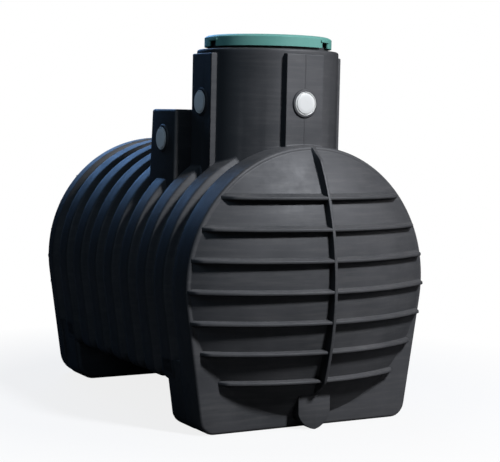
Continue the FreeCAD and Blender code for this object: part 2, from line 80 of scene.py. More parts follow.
front_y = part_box("front_rim")[0].y
rear_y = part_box("rear_rim")[1].y
barrel_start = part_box("front_rim")[1].y
barrel_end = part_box("rear_rim")[0].y
belly_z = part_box("belly")[0].z
neck_low, neck_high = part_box("neck_collar")
neck_y = (neck_low.y + neck_high.y) / 2
dish_centre_y = front_y - DISH_DEPTH + DISH_SPHERE
print("barrel from", round(barrel_start, 3), "to", round(barrel_end, 3), "neck at", round(neck_y, 4))

# %% [markdown]
# ## Helpers for meshes
# A mesh can be given as lists of points and faces, or drawn in a bmesh, which is
# Blender's editable kind. Two helpers turn either into an object. The others
# shade it, turn its faces outwards, keep what its modifiers make of it, and weld
# the loose triangles of a node of the frame into one skin.

# %% Helpers for meshes
MERGE_DISTANCE = 1e-5
WELD_DISTANCE = 2e-5
SHORTEST_EDGE = 1e-6


def add_object(name, data):
    obj = bpy.data.objects.new(name, data)
    scene.collection.objects.link(obj)
    return obj


def make_object(name, verts, faces):
    mesh = bpy.data.meshes.new(name)
    mesh.from_pydata(verts, [], faces)
    mesh.update()
    return add_object(name, mesh)


def object_from(shape, name):
    mesh = bpy.data.meshes.new(name)
    shape.to_mesh(mesh)
    shape.free()
    return add_object(name, mesh)


def smooth(obj, degrees=35):
    mesh = obj.data
    mesh.shade_smooth()
    mesh.set_sharp_from_angle(angle=math.radians(degrees))


def finished(obj, degrees):
    # Doubles merged, faces outwards and shading smooth up to this angle.
    shape = bmesh.new()
    shape.from_mesh(obj.data)
    bmesh.ops.remove_doubles(shape, verts=shape.verts, dist=MERGE_DISTANCE)
    bmesh.ops.recalc_face_normals(shape, faces=shape.faces)
    shape.to_mesh(obj.data)
    shape.free()
    smooth(obj, degrees)
    return obj


def keep_evaluated(obj):
    # The modifiers' result becomes the object's own plain mesh.
    graph = bpy.context.evaluated_depsgraph_get()
    result = bpy.data.meshes.new_from_object(obj.evaluated_get(graph), depsgraph=graph)
    obj.modifiers.clear()
    obj.data = result
    return obj


def welded_copy(name, node):
    shape = bmesh.new()
    shape.from_mesh(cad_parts[node].data)
    bmesh.ops.remove_doubles(shape, verts=shape.verts, dist=WELD_DISTANCE)
    bmesh.ops.dissolve_degenerate(shape, dist=SHORTEST_EDGE, edges=shape.edges)
    obj = object_from(shape, name)
    smooth(obj)
    weights = obj.modifiers.new("even shading", "WEIGHTED_NORMAL")
    weights.keep_sharp = True
    return keep_evaluated(obj)


def count(obj):
    obj.data.calc_loop_triangles()
    return len(obj.data.loop_triangles)


print("new pieces go to:", scene.collection.name)

# %% [markdown]
# ## Moulded black polyethylene
# The tank is cast in a rotating oven mould. The plastic is nearly black, and its
# look comes from how it reflects: a soft sheen, a very fine orange-peel grain, and
# cloudy patches where the powder melted unevenly. A pale film is painted light. It
# greys whatever faces the front or the sky, where the lamps are, and the sides turned
# away get a darker colour, which is painted shade. Noise textures make the patches,
# the fine upright scratches in the painted film, specks of dust that settle on upward
# faces, and the grain. They read Object coordinates, so that they stay put on the tank.
# Uniform values such as the sheen's level are set on the shader itself.

# %% A helper for node trees
class Tree:
    """Short calls for building a node tree."""

    def __init__(self, tree):
        self.tree = tree

    def fill(self, socket, value):
        if isinstance(value, bpy.types.NodeSocket):
            self.tree.links.new(value, socket)
        else:
            socket.default_value = value

    def set(self, node, inputs):
        for socket, value in inputs.items():
            self.fill(node.inputs[socket], value)
        return node

    def add(self, kind, inputs=None, **settings):
        # The settings come first, because they decide which sockets there are.
        node = self.tree.nodes.new(kind)
        for key, value in settings.items():
            setattr(node, key, value)
        return self.set(node, inputs or {})

    def math(self, operation, a, b=0.0, c=0.0):
        return self.add("ShaderNodeMath", {0: a, 1: b, 2: c}, operation=operation).outputs[0]

    def noise(self, coords, scale, detail, roughness):
        inputs = {"Vector": coords, "Scale": scale, "Detail": detail, "Roughness": roughness}
        return self.add("ShaderNodeTexNoise", inputs).outputs["Fac"]

    def ramp(self, value, low, high, start=0.0, end=1.0):
        inputs = {"Value": value, "From Min": low, "From Max": high, "To Min": start, "To Max": end}
        return self.add("ShaderNodeMapRange", inputs).outputs["Result"]

    def mix(self, factor, a, b):
        node = self.add("ShaderNodeMix", {"Factor": factor, "A": a, "B": b}, data_type="RGBA")
        return node.outputs["Result"]

    def parts(self, vector):
        # The x, y and z of a vector.
        return self.add("ShaderNodeSeparateXYZ", {0: vector}).outputs


def new_material(name):
    material = bpy.data.materials.new(name)
    material.use_nodes = True
    tree = Tree(material.node_tree)
    shader = material.node_tree.nodes["Principled BSDF"]
    coords = tree.add("ShaderNodeTexCoord").outputs["Object"]
    return material, tree, shader, coords


print("node calls:", [name for name in vars(Tree) if not name.startswith("_")])

# %% The plastics
# Each noise is a scale, a detail and a roughness. Each range is what a value runs
# from and to, and then what it becomes, where that isn't 0 to 1.
CLOUDS = (2.6, 5.0, 0.6)
CLOUD_RANGE = (0.35, 0.68)
SPECKS = (46.0, 2.0, 0.5)
SPECK_RANGE = (0.38, 0.80, 0.05, 0.30)
SCUFFS = (9.0, 6.0, 0.7)
SCUFF_RANGE = (0.3, 0.7)
SMOOTHER = 0.06
ROUGHER = 0.08
PEEL = (60.0, 3.0, 0.5)
PEEL_SHARE = 0.6
GRAIN = (520.0, 2.0, 0.5)
GRAIN_STRENGTH = 0.35
STREAKS = (6.0, 5.0, 0.65)
STREAK_STRETCH = (0.7, 0.7, 9.0)
SCRATCH_RANGE = (0.46, 0.74, 0.0, 0.22)
PAINTED_LIGHT_RANGE = (0.40, 0.95)
UPWARD_RANGE = (0.55, 1.0)


def painted_light_film(tree, coords, facing, painted_shade, colour, dust_and_painted_light):
    # Painted light: the nearer a face turns to the front or the sky, where the lamps shine
    # from, the paler it is painted. Faces turned away keep the darker painted shade.
    to_front = tree.math("MULTIPLY", facing["Y"], -1.0)
    painted_light_share = tree.ramp(tree.math("MAXIMUM", to_front, facing["Z"]), *PAINTED_LIGHT_RANGE)
    stretch = tree.add("ShaderNodeMapping", {"Vector": coords, "Scale": STREAK_STRETCH})
    scratches = tree.ramp(tree.noise(stretch.outputs[0], *STREAKS), *SCRATCH_RANGE)
    return tree.mix(painted_light_share, painted_shade, tree.mix(scratches, colour, dust_and_painted_light))


def plastic(name, dark, pale, dust_and_painted_light, roughness, grain, sheen_level=0.5, painted_shade=None):
    # The darker colour, where one is given, is painted shade on faces turned away from the
    # lamps, and the painted light film greys the faces turned to them.
    material, tree, shader, coords = new_material(name)
    colour = tree.mix(tree.ramp(tree.noise(coords, *CLOUDS), *CLOUD_RANGE), dark, pale)
    facing = tree.parts(tree.add("ShaderNodeNewGeometry").outputs["Normal"])
    if painted_shade:
        colour = painted_light_film(tree, coords, facing, painted_shade, colour, dust_and_painted_light)
    specks = tree.ramp(tree.noise(coords, *SPECKS), *SPECK_RANGE)
    settled = tree.math("MULTIPLY", tree.ramp(facing["Z"], *UPWARD_RANGE), specks)
    scuffs = tree.ramp(tree.noise(coords, *SCUFFS), *SCUFF_RANGE, roughness - SMOOTHER, roughness + ROUGHER)
    height = tree.math("MULTIPLY_ADD", tree.noise(coords, *PEEL), PEEL_SHARE, tree.noise(coords, *GRAIN))
    bump = tree.add("ShaderNodeBump", {"Strength": GRAIN_STRENGTH, "Distance": grain, "Height": height})
    tree.set(shader, {"Base Color": tree.mix(settled, colour, dust_and_painted_light), "Roughness": scuffs,
                      "Specular IOR Level": sheen_level, "Normal": bump.outputs["Normal"]})
    return material


# The darkest colour given here is painted shade on faces turned from the lamps. The dust colour also serves
# as painted light on the faces turned to them.
BLACK = plastic("black moulded polyethylene",
                dark=(0.034, 0.035, 0.037, 1), pale=(0.056, 0.056, 0.058, 1),
                dust_and_painted_light=(0.13, 0.125, 0.118, 1), painted_shade=(0.011, 0.0115, 0.0125, 1),
                roughness=0.56, grain=0.0006, sheen_level=0.38)
GREEN = plastic("green lid plastic",
                dark=(0.085, 0.255, 0.215, 1), pale=(0.130, 0.315, 0.265, 1),
                dust_and_painted_light=(0.24, 0.40, 0.35, 1), roughness=0.42, grain=0.0004)
GREY = plastic("pale grey cap plastic",
               dark=(0.58, 0.58, 0.555, 1), pale=(0.67, 0.67, 0.64, 1),
               dust_and_painted_light=(0.66, 0.65, 0.61, 1), roughness=0.36, grain=0.0002)
RUBBER = plastic("black seal rubber",
                 dark=(0.012, 0.012, 0.012, 1), pale=(0.022, 0.022, 0.022, 1),
                 dust_and_painted_light=(0.06, 0.06, 0.055, 1), roughness=0.75, grain=0.0003, sheen_level=0.3)
print("materials:", [m.name for m in (BLACK, GREEN, GREY, RUBBER)])

# %% [markdown]
# ## The outline across the tank
# Every band of the moulding shares one outline: a round arch, two sides that
# taper in to the bottom, and a flat floor with rounded corners. Each point is
# stored with the direction that points out of the plastic, because a groove is
# the same outline drawn inwards along that direction.

# %% The outline and a tube along it
ARCH_STEPS = 88
SIDE_STEPS = 8
CORNER_STEPS = 7
FLOOR_STEPS = 14


def outline(floor, bend):
    # Points (x, z) with outward directions (x, z), anticlockwise from the front.
    cos_t, sin_t = math.cos(TAPER), math.sin(TAPER)
    corner_z = floor + bend
    side_x = (ARCH_RADIUS - (ARCH_Z - corner_z) * sin_t) / cos_t
    corner_x = side_x - bend / cos_t
    right = []
    for step in range(FLOOR_STEPS // 2 + 1):
        right.append((corner_x * step / (FLOOR_STEPS / 2), floor, 0.0, -1.0))
    for step in range(1, CORNER_STEPS + 1):
        angle = (QUARTER_TURN - TAPER) * step / CORNER_STEPS
        away = (math.sin(angle), -math.cos(angle))
        right.append((corner_x + bend * away[0], corner_z + bend * away[1], *away))
    low = right[-1]
    top = (ARCH_RADIUS * cos_t, ARCH_Z - ARCH_RADIUS * sin_t)
    for step in range(1, SIDE_STEPS):
        share = step / SIDE_STEPS
        x = low[0] + (top[0] - low[0]) * share
        right.append((x, low[1] + (top[1] - low[1]) * share, cos_t, -sin_t))
    for step in range(ARCH_STEPS // 2 + 1):
        angle = -TAPER + (QUARTER_TURN + TAPER) * step / (ARCH_STEPS / 2)
        away = (math.cos(angle), math.sin(angle))
        right.append((ARCH_RADIUS * away[0], ARCH_Z + ARCH_RADIUS * away[1], *away))
    left = [(-x, z, -away_x, away_z) for x, z, away_x, away_z in right[-2:0:-1]]
    return right + left


def ring_faces(rings, around):
    faces = []
    for ring in range(rings - 1):
        for step in range(around):
            a = ring * around + step
            b = ring * around + (step + 1) % around
            faces.append((a, b, b + around, a + around))
    return faces


barrel_outline = outline(belly_z, BELLY_CORNER)
print("points round the outline:", len(barrel_outline))

# %% [markdown]
# ## The hooped barrel
# The hoops stiffen a buried tank against the weight of the soil. On the real
# mould they are one wave repeated along the barrel, so a Geometry Nodes tree
# draws them: it measures how far each point is from the middle of its groove and
# moves it inwards along its stored outward direction. A smooth step gives each
# edge the soft radius of a rotational moulding. The tree's inputs are the real
# sizes, so another tank is a matter of a few numbers.

# %% Geometry Nodes: press the grooves into a tube
def start_tree(title, sizes):
    # A tree with a named input for each size, its geometry and its material.
    group = bpy.data.node_groups.new(title, "GeometryNodeTree")
    ids = {}

    def socket(name, kind, in_out="INPUT"):
        made = group.interface.new_socket(name=name, in_out=in_out, socket_type="NodeSocket" + kind)
        ids[name] = made.identifier
        return made

    socket("Geometry", "Geometry")
    for name, value in sizes.items():
        socket(name, "Int" if isinstance(value, int) else "Float").default_value = value
    socket("Material", "Material")
    socket("Geometry", "Geometry", "OUTPUT")
    tree = Tree(group)
    return tree, ids, tree.add("NodeGroupInput").outputs


def end_tree(tree, given, geometry):
    # Real geometry with its material, because the export drops instances.
    real = tree.add("GeometryNodeRealizeInstances", {0: geometry})
    colour = tree.add("GeometryNodeSetMaterial", {0: real.outputs[0], "Material": given["Material"]})
    tree.add("NodeGroupOutput", {0: colour.outputs[0]})


def groove_tree():
    sizes = {"First groove": barrel_start, "Hoop width": HOOP_WIDTH, "Groove width": GROOVE_WIDTH,
             "Groove depth": GROOVE_DEPTH, "Draft": GROOVE_DRAFT, "Softness": EDGE_SOFTNESS}
    tree, ids, given = start_tree("press grooves", sizes)
    place = tree.parts(tree.add("GeometryNodeInputPosition").outputs[0])
    half_groove = tree.math("DIVIDE", given["Groove width"], 2.0)
    pitch = tree.math("ADD", given["Hoop width"], given["Groove width"])
    half_pitch = tree.math("DIVIDE", pitch, 2.0)
    along = tree.math("SUBTRACT", tree.math("SUBTRACT", place["Y"], given["First groove"]), half_groove)
    wrapped = tree.math("WRAP", along, half_pitch, tree.math("MULTIPLY", half_pitch, -1.0))
    bend = tree.math("ADD", given["Draft"], given["Softness"])
    step = tree.add("ShaderNodeMapRange", {
        "Value": tree.math("ABSOLUTE", wrapped),
        "From Min": tree.math("SUBTRACT", half_groove, bend),
        "From Max": tree.math("ADD", half_groove, given["Softness"]),
        "To Min": tree.math("MULTIPLY", given["Groove depth"], -1.0),
        "To Max": 0.0}, interpolation_type="SMOOTHSTEP")
    outward = tree.add("GeometryNodeInputNamedAttribute", {"Name": "outward"}, data_type="FLOAT_VECTOR")
    push = tree.add("ShaderNodeVectorMath", {0: outward.outputs[0], "Scale": step.outputs["Result"]},
                    operation="SCALE")
    move = tree.add("GeometryNodeSetPosition", {"Geometry": given["Geometry"], "Offset": push.outputs[0]})
    end_tree(tree, given, move.outputs[0])
    return tree.tree, ids


def apply_tree(obj, group, ids, values):
    modifier = obj.modifiers.new(group.name, "NODES")
    modifier.node_group = group
    for name, value in values.items():
        modifier[ids[name]] = value
    return keep_evaluated(obj)


groove_group, groove_ids = groove_tree()
print("tree inputs:", sorted(groove_ids))

# %% The barrel's stations and its tube
GROOVE_SIDE_STEPS = 9
HOOP_SHARES = (0.25, 0.5, 0.75)
BARREL_TUCK = 0.004


def barrel_rings():
    # Close rings where a groove's side bends, wide ones on the flats. Each end of
    # the barrel is tucked a little way into its rim.
    half = GROOVE_WIDTH / 2
    reach = GROOVE_DRAFT + 2 * EDGE_SOFTNESS
    steps = GROOVE_SIDE_STEPS
    offsets = [-half - EDGE_SOFTNESS + reach * step / steps for step in range(steps + 1)]
    offsets += [-offset for offset in reversed(offsets)]
    first = barrel_start - BARREL_TUCK
    last = barrel_end + BARREL_TUCK
    rings = [first, last]
    for index in range(HOOP_COUNT + 1):
        middle = barrel_start + half + index * (HOOP_WIDTH + GROOVE_WIDTH)
        rings += [middle + offset for offset in offsets] + [middle]
        if index < HOOP_COUNT:
            rings += [middle + half + HOOP_WIDTH * share for share in HOOP_SHARES]
    return sorted(y for y in rings if first <= y <= last)


def tube(name, loop, rings):
    verts = [(x, y, z) for y in rings for x, z, _, _ in loop]
    obj = make_object(name, verts, [face[::-1] for face in ring_faces(len(rings), len(loop))])
    stored = obj.data.attributes.new("outward", "FLOAT_VECTOR", "POINT")
    directions = [value for _ in rings for _, _, x, z in loop for value in (x, 0.0, z)]
    stored.data.foreach_set("vector", directions)
    return obj


barrel = tube("hooped_barrel", barrel_outline, barrel_rings())
apply_tree(barrel, groove_group, groove_ids, {"Material": BLACK})
print("hooped barrel:", count(barrel), "triangles")

# %% [markdown]
# ## The two ends
# Each end is a band, a flat frame and a dished disc, moulded in one. Rings of
# points are drawn from the back of the band round its rounded edge, across the
# frame to the dish, and then along a sphere to the middle, so the soft bends are
# where the mould has them. The dish's middle closes with one fan of triangles.

# %% Rings of an end, and its mesh
FRONT_CORNER = 0.078
FRONT_EDGE = 0.016
REAR_CORNER = 0.130
REAR_EDGE = 0.030
BAND_RETURN = 0.060
BAND_BACK_EDGE = 0.005
BAND_BACK_RING = 0.006
BAND_SHARES = (0.33, 0.66)
DISH_LIP = 0.002
FRAME_SHARES = (0.35, 0.7, 1.0)
DISH_SHARES = (0.999, 0.993, 0.985, 0.97, 0.94, 0.9, 0.85, 0.8, 0.74, 0.67, 0.6, 0.52, 0.44, 0.35, 0.26,
               0.17, 0.08)


def quarter_steps(steps):
    # Sine and cosine at even steps through a quarter turn, for a rounded edge.
    angles = [QUARTER_TURN * step / steps for step in range(steps + 1)]
    return [(math.sin(angle), math.cos(angle)) for angle in angles]


def end_rings(length, floor_bend, edge):
    loop = outline(0.0, floor_bend)
    back = front_y + length
    rings = []

    def inward(inset, y):
        rings.append([(x - inset * ax, y, z - inset * az) for x, z, ax, az in loop])

    inward(BAND_RETURN, back)
    inward(BAND_BACK_RING, back)
    for sine, cosine in quarter_steps(3):
        inward(BAND_BACK_EDGE * (1 - sine), back - BAND_BACK_EDGE * (1 - cosine))
    for share in BAND_SHARES:
        inward(0.0, back + (front_y + edge - back) * share)
    for sine, cosine in quarter_steps(6):
        inward(edge * (1 - cosine), front_y + edge * (1 - sine))
    frame_ring = rings[-1]

    def to_dish(radius, y, share):
        points = []
        for (x, _, z) in frame_ring:
            reach = math.hypot(x, z - ARCH_Z)
            wanted = radius + (reach - radius) * (1 - share)
            points.append((x * wanted / reach, y, ARCH_Z + (z - ARCH_Z) * wanted / reach))
        rings.append(points)

    for share in FRAME_SHARES:
        to_dish(DISH_RADIUS + DISH_LIP, front_y, share)
    for share in DISH_SHARES:
        reach = DISH_RADIUS * share
        to_dish(reach, dish_centre_y - math.sqrt(DISH_SPHERE ** 2 - reach ** 2), 1.0)
    return rings, (0.0, front_y - DISH_DEPTH, ARCH_Z)


def end_mesh(name, rings, middle):
    around = len(rings[0])
    verts = [point for ring in rings for point in ring] + [middle]
    faces = ring_faces(len(rings), around)
    last = (len(rings) - 1) * around
    for step in range(around):
        faces.append((last + step, last + (step + 1) % around, len(verts) - 1))
    return make_object(name, verts, faces)


def turn_round(obj):
    # Half a turn about the vertical, for the rear end.
    obj.data.transform(Matrix.Rotation(math.pi, 4, "Z"))
    return obj


front_end = end_mesh("front_end", *end_rings(barrel_start - front_y, FRONT_CORNER, FRONT_EDGE))
rear_end = turn_round(end_mesh("rear_end", *end_rings(rear_y - barrel_end, REAR_CORNER, REAR_EDGE)))
print("ends:", count(front_end), count(rear_end), "triangles")

# %% [markdown]
# ## Wall thickness and the ways through
# The moulding has a 10 mm wall, so Solidify gives the skins their thickness. The
# neck and the box open into the tank, and a Boolean cuts those ways with the same
# sizes that the frame's pieces have. Its Manifold solver suits closed walls.

# %% Solidify and cut the openings
NECK_BORE = 0.352
BOX_HALF_WIDTH = 0.462
BOX_WALL = 0.008
WAY_LOW_Z = 0.9
WAY_HIGH_Z = 1.9
CUTTER_STEPS = 96
box_low, box_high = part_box("box_roof")


def cutter_cylinder(radius, low, high):
    shape = bmesh.new()
    place = Matrix.Translation((0, neck_y, (low + high) / 2))
    bmesh.ops.create_cone(shape, cap_ends=True, segments=CUTTER_STEPS, radius1=radius, radius2=radius,
                          depth=high - low, matrix=place)
    return object_from(shape, "cutter")


def cutter_box(low, high):
    shape = bmesh.new()
    size = Vector(high) - Vector(low)
    place = Matrix.Translation((Vector(low) + Vector(high)) / 2)
    bmesh.ops.create_cube(shape, size=1.0, matrix=place @ Matrix.Diagonal((*size, 1)))
    return object_from(shape, "cutter")


def cut_away(obj, cutters):
    for cutter in cutters:
        cut = obj.modifiers.new("way", "BOOLEAN")
        cut.operation = "DIFFERENCE"
        cut.object = cutter
        cut.solver = "MANIFOLD"
    keep_evaluated(obj)


neck_way = cutter_cylinder(NECK_BORE, WAY_LOW_Z, WAY_HIGH_Z)
box_way = cutter_box((BOX_WALL - BOX_HALF_WIDTH, box_low.y + BOX_WALL, WAY_LOW_Z),
                     (BOX_HALF_WIDTH - BOX_WALL, box_high.y - BOX_WALL, WAY_HIGH_Z))
for skin, cutters in ((barrel, (neck_way, box_way)), (front_end, (neck_way,)), (rear_end, ())):
    wall = skin.modifiers.new("wall", "SOLIDIFY")
    wall.thickness = WALL
    wall.offset = -1.0
    cut_away(skin, cutters)
    smooth(skin, 50)
    print(skin.name, count(skin), "triangles")
for cutter in (neck_way, box_way):
    bpy.data.objects.remove(cutter)

# %% [markdown]
# ## Level ribs across the dishes
# Seven level ribs tie the dish together. They all follow one rule, so Geometry
# Nodes makes them from a single flat strip: the strip is put on one point for
# each rib, and a few formulas lay it on the dish at that rib's height, fade its
# ends into the rim and taper it from root to tip.

# %% The strip that each rib is made from
RIB_STRIP_STEPS = 64
RIB_END_CROWDING = 1.6
RIB_HALF_PROFILE = [(1.45, -0.02), (1.08, 0.16), (1.0, 0.26), (1.0, 0.90), (0.88, 0.97), (0.60, 1.0)]


def whole_profile(half):
    return [(-across, up) for across, up in half] + half[::-1]


def capped_strip(name, verts, stations):
    # A strip of equal profiles, closed with a face at each end.
    around = len(verts) // stations
    faces = ring_faces(stations, around)
    faces.append(tuple(range(around)))
    faces.append(tuple(reversed(range(len(verts) - around, len(verts)))))
    return make_object(name, verts, faces)


def rib_strip(name):
    # x runs along the rib from -1 to 1, y is height above the dish, z is across.
    verts = []
    for step in range(RIB_STRIP_STEPS + 1):
        share = -1 + 2 * step / RIB_STRIP_STEPS
        along = math.copysign(1 - (1 - abs(share)) ** RIB_END_CROWDING, share)
        verts += [(along, up, across) for across, up in whole_profile(RIB_HALF_PROFILE)]
    return capped_strip(name, verts, RIB_STRIP_STEPS + 1)


strips = {end: rib_strip(end + "_level_ribs") for end in ("front", "rear")}
print("rib strip:", len(strips["front"].data.vertices), "points")

# %% Geometry Nodes: lay the strips on the dish
RIB_COUNT = 7
RIB_TOP_RISE = 0.429
RIB_PITCH = 0.1475
RIB_END_RADIUS = 0.668
RIB_DEPTH = 0.034
RIB_SINK = 0.006


def rib_tree():
    sizes = {"Count": RIB_COUNT, "Top rise": RIB_TOP_RISE, "Pitch": RIB_PITCH, "End radius": RIB_END_RADIUS,
             "Dish sphere": DISH_SPHERE, "Rib depth": RIB_DEPTH, "Sink": RIB_SINK, "Face": front_y,
             "Sphere centre": dish_centre_y, "Axis height": ARCH_Z, "Root thickness": 0.030,
             "Tip thickness": 0.014, "End slope": 1.96, "End drop": 0.012, "Tip softness": 0.004}
    tree, ids, given = start_tree("level ribs", sizes)
    line = tree.add("GeometryNodeMeshLine", {"Count": given["Count"], "Offset": (0, 0, 0)})
    number = tree.add("GeometryNodeInputIndex").outputs[0]
    level = tree.add("GeometryNodeStoreNamedAttribute", {"Geometry": line.outputs[0], "Name": "level",
                                                         "Value": number}, data_type="FLOAT", domain="POINT")
    copies = tree.add("GeometryNodeInstanceOnPoints", {"Points": level.outputs[0],
                                                       "Instance": given["Geometry"]})
    real = tree.add("GeometryNodeRealizeInstances", {0: copies.outputs[0]})
    strip = tree.parts(tree.add("GeometryNodeInputPosition").outputs[0])
    along, up, across = strip["X"], strip["Y"], strip["Z"]
    stored = tree.add("GeometryNodeInputNamedAttribute", {"Name": "level"}, data_type="FLOAT")

    def square(value):
        return tree.math("MULTIPLY", value, value)

    def leg(long_side, short_side):
        return tree.math("SQRT", tree.math("SUBTRACT", square(long_side), square(short_side)))

    # Where the rib stands, and how far from the axis each of its points is.
    rise = tree.math("SUBTRACT", given["Top rise"], tree.math("MULTIPLY", stored.outputs[0], given["Pitch"]))
    lowered = tree.math("ADD", rise, given["End drop"])
    x = tree.math("MULTIPLY", along, leg(given["End radius"], lowered))
    reach = tree.math("SQRT", tree.math("ADD", square(x), square(rise)))
    end_reach = tree.math("SQRT", tree.math("ADD", square(x), square(lowered)))
    # The root is sunk into the dish. The tip is the lower of a larger sphere and
    # a cone that runs back to the rim.
    centre = tree.math("SUBTRACT", given["Sphere centre"], given["Face"])
    on_dish = tree.math("SUBTRACT", leg(given["Dish sphere"], reach), centre)
    root = tree.math("SUBTRACT", on_dish, given["Sink"])
    tip_sphere = tree.math("ADD", given["Dish sphere"], given["Rib depth"])
    round_tip = tree.math("SUBTRACT", leg(tip_sphere, reach), centre)
    to_end = tree.math("SUBTRACT", given["End radius"], end_reach)
    end_tip = tree.math("MULTIPLY", to_end, given["End slope"])
    tip = tree.math("SMOOTH_MIN", round_tip, end_tip, given["Tip softness"])
    depth = tree.math("MULTIPLY_ADD", up, tree.math("SUBTRACT", tip, root), root)
    y = tree.math("SUBTRACT", given["Face"], depth)
    thin = tree.math("SUBTRACT", given["Tip thickness"], given["Root thickness"])
    width = tree.math("MULTIPLY_ADD", up, thin, given["Root thickness"])
    aside = tree.math("MULTIPLY", across, tree.math("DIVIDE", width, 2.0))
    z = tree.math("ADD", tree.math("ADD", given["Axis height"], rise), aside)
    place = tree.add("ShaderNodeCombineXYZ", {0: x, 1: y, 2: z})
    lay = tree.add("GeometryNodeSetPosition", {"Geometry": real.outputs[0], "Position": place.outputs[0]})
    end_tree(tree, given, lay.outputs[0])
    return tree.tree, ids


rib_group, rib_ids = rib_tree()
ribs = {}
for end, strip_object in strips.items():
    ribs[end] = finished(apply_tree(strip_object, rib_group, rib_ids, {"Material": BLACK}), 40)
turn_round(ribs["rear"])
print("level ribs:", count(ribs["front"]), "triangles at each end")

# %% [markdown]
# ## The upright rib
# One upright rib crosses the level ones on the centre line. Its front follows a
# flatter arc than the dish, so it stands further out towards the bottom. A short
# list of stations along that arc carries a tapered profile with a rounded tip.

# %% The upright rib
SPINE_RADIUS = DISH_SPHERE + RIB_DEPTH + 0.110
SPINE_FRONT = DISH_DEPTH + RIB_DEPTH + 0.003
SPINE_Z = ARCH_Z - 0.020
SPINE_TOP_Z = ARCH_Z + RIB_END_RADIUS
SPINE_TOP_SLOPE = 34 / 25
SPINE_LOW_Z = 0.170
SPINE_LOW_FRONT = 0.073
SPINE_LOW_SLOPE = 1.35
SPINE_STATIONS = 64
SPINE_HALF_ROOT = 0.014
SPINE_LEAST_RISE = 0.001
SPINE_HALF_PROFILE = [(1.45, 0.0), (1.05, 0.14), (0.95, 0.24), (0.62, 0.90), (0.54, 0.97), (0.36, 1.0)]


def dish_depth_at(reach):
    return math.sqrt(DISH_SPHERE ** 2 - reach ** 2) - (dish_centre_y - front_y)


def spine_tip_at(z):
    # The lowest of three lines in side view: the long arc, the slope at its top
    # and the steeper one where it runs down into the lug.
    arc = SPINE_FRONT - SPINE_RADIUS + math.sqrt(SPINE_RADIUS ** 2 - (z - SPINE_Z) ** 2)
    top_slope = (SPINE_TOP_Z - z) * SPINE_TOP_SLOPE
    low_slope = SPINE_LOW_FRONT + (z - SPINE_LOW_Z) * SPINE_LOW_SLOPE
    return min(arc, top_slope, low_slope)


def upright_rib(name):
    verts = []
    for step in range(SPINE_STATIONS + 1):
        z = SPINE_LOW_Z + (SPINE_TOP_Z - SPINE_LOW_Z) * step / SPINE_STATIONS
        root = dish_depth_at(min(abs(z - ARCH_Z), DISH_RADIUS)) - RIB_SINK
        rise = max(spine_tip_at(z) - root, SPINE_LEAST_RISE)
        for across, up in whole_profile(SPINE_HALF_PROFILE):
            verts.append((SPINE_HALF_ROOT * across, front_y - root - rise * up, z))
    return finished(capped_strip(name, verts, SPINE_STATIONS + 1), 40)


spines = {"front": upright_rib("front_upright_rib"), "rear": turn_round(upright_rib("rear_upright_rib"))}
print("upright ribs:", count(spines["front"]), "triangles each")

# %% [markdown]
# ## The access neck
# The neck is round with a flat pad on each quarter, where a drill finds a flat
# face for a pipe. Rings of points climb it: the lowest follow the hoops and
# grooves that the neck grows out of, the next carry the pads, and the last roll
# over the top edge, up the collar and back down the bore. Every ring has the
# same number of points, so one loop joins them all.

# %% Points round the neck
NECK_RADIUS = 0.362
PAD_HALF_WIDTH = 0.105
PAD_FACE = NECK_RADIUS + 0.016
PAD_CORNER = 0.004
PAD_STEPS = 26
SEAM_HALF_WIDTH = 0.0022
SEAM_PROUD = 0.0013
SEAM_QUARTERS = (1, 3)
BETWEEN_PADS_STEPS = 44
pad_angle = math.asin(PAD_HALF_WIDTH / NECK_RADIUS)
pad_root = NECK_RADIUS * math.cos(pad_angle)


def pad_side(sign):
    # One side wall of a pad, from the round neck out to the pad's face.
    half = PAD_HALF_WIDTH
    bend = PAD_CORNER * (1 - math.sqrt(0.5))
    points = [(pad_root + PAD_CORNER / 4, half + PAD_CORNER / 4), (pad_root + PAD_CORNER, half),
              (PAD_FACE - PAD_CORNER, half), (PAD_FACE - bend, half - bend)]
    return [(x, sign * y) for x, y in points]


def neck_quarter(quarter):
    # Pairs of one point on the round neck and its twin on the padded neck. The
    # mould's halves meet on the centre plane and leave a fine seam on two pads.
    flat = PAD_HALF_WIDTH - PAD_CORNER
    pairs = [((pad_root, -PAD_HALF_WIDTH), point) for point in pad_side(-1)]
    places = [flat * (2 * step / PAD_STEPS - 1) for step in range(PAD_STEPS + 1)]
    for across in sorted(places + [-SEAM_HALF_WIDTH, SEAM_HALF_WIDTH]):
        seam = SEAM_PROUD if quarter in SEAM_QUARTERS and abs(across) < SEAM_HALF_WIDTH / 2 else 0.0
        pairs.append(((math.sqrt(NECK_RADIUS ** 2 - across ** 2), across), (PAD_FACE + seam, across)))
    pairs += [((pad_root, PAD_HALF_WIDTH), point) for point in reversed(pad_side(1))]
    for step in range(1, BETWEEN_PADS_STEPS):
        angle = pad_angle + (QUARTER_TURN - 2 * pad_angle) * step / BETWEEN_PADS_STEPS
        point = (NECK_RADIUS * math.cos(angle), NECK_RADIUS * math.sin(angle))
        pairs.append((point, point))
    return pairs


def quarter_turned(point, quarter):
    x, y = point
    for _ in range(quarter):
        x, y = -y, x
    return x, y


neck_pairs = [(quarter_turned(round_one, quarter), quarter_turned(padded, quarter))
              for quarter in range(4) for round_one, padded in neck_quarter(quarter)]
print("points round the neck:", len(neck_pairs))

